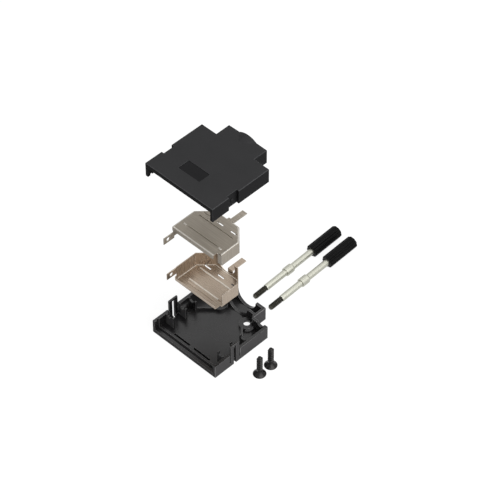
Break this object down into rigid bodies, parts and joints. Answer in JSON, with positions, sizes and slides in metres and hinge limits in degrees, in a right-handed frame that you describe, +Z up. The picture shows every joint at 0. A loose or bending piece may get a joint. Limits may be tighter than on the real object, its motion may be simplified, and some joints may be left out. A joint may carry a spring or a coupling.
{
  "type": "cable connector hood kit",
  "caption": "Two-piece moulded hood for a D-shaped cable connector, shown taken apart, with nested sheet-metal shields, fluted thumbscrews and countersunk case screws.",
  "frame": {"origin": "on the table under the middle of the tray's wide part", "axes": "+X to the right across the hood, +Y from the connector face to the cable outlet, +Z up"},
  "size_m": [0.0567, 0.105, 0.11],
  "materials": {
    "tray_plastic": "satin moulded",
    "cover_plastic": "satin moulded",
    "lower_sheet": "nickel plated",
    "upper_sheet": "nickel plated",
    "plated_steel": "zinc plated",
    "knob_plastic": "satin moulded",
    "black_steel": "black oxide"
  },
  "bodies": {
    "tray": {"bottom_cover": "tray_plastic", "shaft_left": "plated_steel", "shaft_right": "plated_steel", "knob_left": "knob_plastic", "knob_right": "knob_plastic", "case_screw_front": "black_steel", "case_screw_rear": "black_steel"},
    "lower_shield": {"lower_shield": "lower_sheet"},
    "upper_shield": {"upper_shield": "upper_sheet"},
    "top_cover": {"top_cover": "cover_plastic"}
  },
  "joints": [
    {"name": "lower_shield_lift", "type": "slide", "parent": "tray", "child": "lower_shield", "axis": [0, 0, 1], "range_m": [-0.0316, 0]},
    {"name": "upper_shield_lift", "type": "slide", "parent": "lower_shield", "child": "upper_shield", "axis": [0, 0, 1], "range_m": [-0.0228, 0]},
    {"name": "cover_lift", "type": "slide", "parent": "upper_shield", "child": "top_cover", "axis": [0, 0, 1], "range_m": [-0.0388, 0]}
  ]
}
